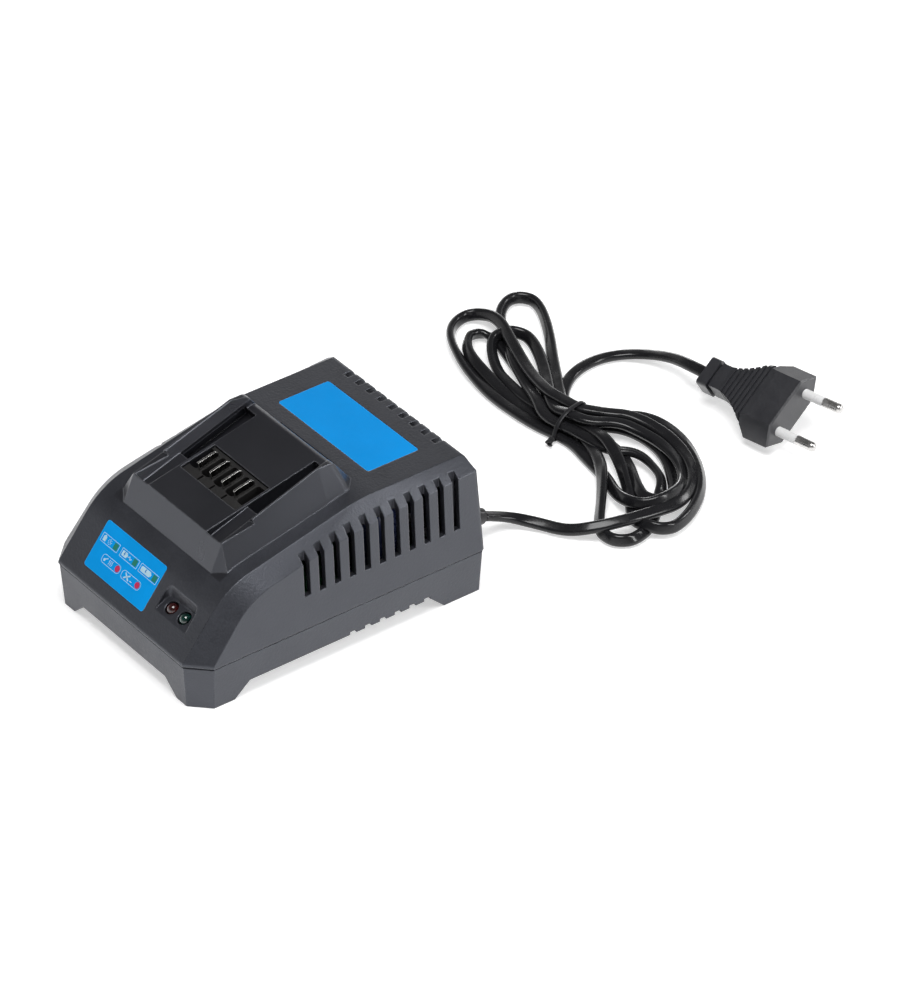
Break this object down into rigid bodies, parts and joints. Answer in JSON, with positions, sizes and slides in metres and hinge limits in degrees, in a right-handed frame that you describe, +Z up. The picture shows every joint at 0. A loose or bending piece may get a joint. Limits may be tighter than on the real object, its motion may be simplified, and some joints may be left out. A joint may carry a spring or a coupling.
{
  "type": "power tool battery charger",
  "caption": "Sloping desktop charger with a railed slide-in battery dock, blade contacts, vented sides, status lights, and a tied flat mains cord with a two-pin plug.",
  "frame": {"origin": "on the floor under the middle of the charger's case; the cord and plug lie behind the case", "axes": "+Z up, -Y towards the front with the status label and lights, +Y towards the rear where the cord leaves, +X to the right seen from the front; the case is longest along Y and lowest along Z"},
  "size_m": [0.1646, 0.3004, 0.0702],
  "materials": {
    "case_plastic": "dark grey moulded plastic with a fine matt texture",
    "label_film": "bright blue printed film, satin",
    "red_lens": "clear red lens of an indicator light",
    "green_lens": "clear green lens of an indicator light",
    "terminal_plastic": "black glass-filled plastic, slightly rough",
    "contact_metal": "bright nickel-plated contact metal",
    "screw_steel": "zinc-plated steel screws",
    "board_laminate": "green printed circuit board with solder mask",
    "ferrite": "dark grey ferrite",
    "winding_tape": "yellow polyester tape over the winding",
    "can_sleeve": "dark blue shrink sleeve",
    "heatsink_metal": "plain folded aluminium",
    "package_resin": "black moulding resin of the packages",
    "film_box": "moulded box of a film capacitor, pale grey",
    "fuse_glass": "glass tube fuse with metal caps",
    "lead_insulation": "insulated wire",
    "boot_rubber": "flexible black strain relief",
    "cord_sheath": "satin black PVC sheath of a flat two-core cord",
    "tie_plastic": "plastic-coated wire tie",
    "plug_plastic": "dark grey moulded plug",
    "pin_metal": "nickel-plated brass pins",
    "sleeve_white": "white insulating sleeves"
  },
  "bodies": {
    "root": {"upper_case": "case_plastic", "lower_case": "case_plastic", "case_screws": "screw_steel", "top_label": "label_film", "status_label": "label_film", "red_light": "red_lens", "green_light": "green_lens", "light_board": "board_laminate", "terminal_block": "terminal_plastic", "contact_blades": "contact_metal", "main_board": "board_laminate", "board_screws": "screw_steel", "transformer_core": "ferrite", "transformer_winding": "winding_tape", "mains_capacitor": "can_sleeve", "output_capacitors": "can_sleeve", "primary_heatsink": "heatsink_metal", "output_heatsink": "heatsink_metal", "switching_transistor": "package_resin", "output_rectifier": "package_resin", "bridge_rectifier": "package_resin", "mains_choke": "ferrite", "suppression_capacitor": "film_box", "fuse": "fuse_glass", "terminal_leads": "lead_insulation", "mains_leads": "cord_sheath", "cord_grommet": "boot_rubber", "cord_clamp": "terminal_plastic", "clamp_screws": "screw_steel", "cord_near_run": "cord_sheath", "cord_hank": "cord_sheath", "cord_far_run": "cord_sheath", "cord_tie": "tie_plastic", "plug_body": "plug_plastic", "plug_pins": "pin_metal", "pin_sleeves": "sleeve_white"}
  },
  "joints": []
}
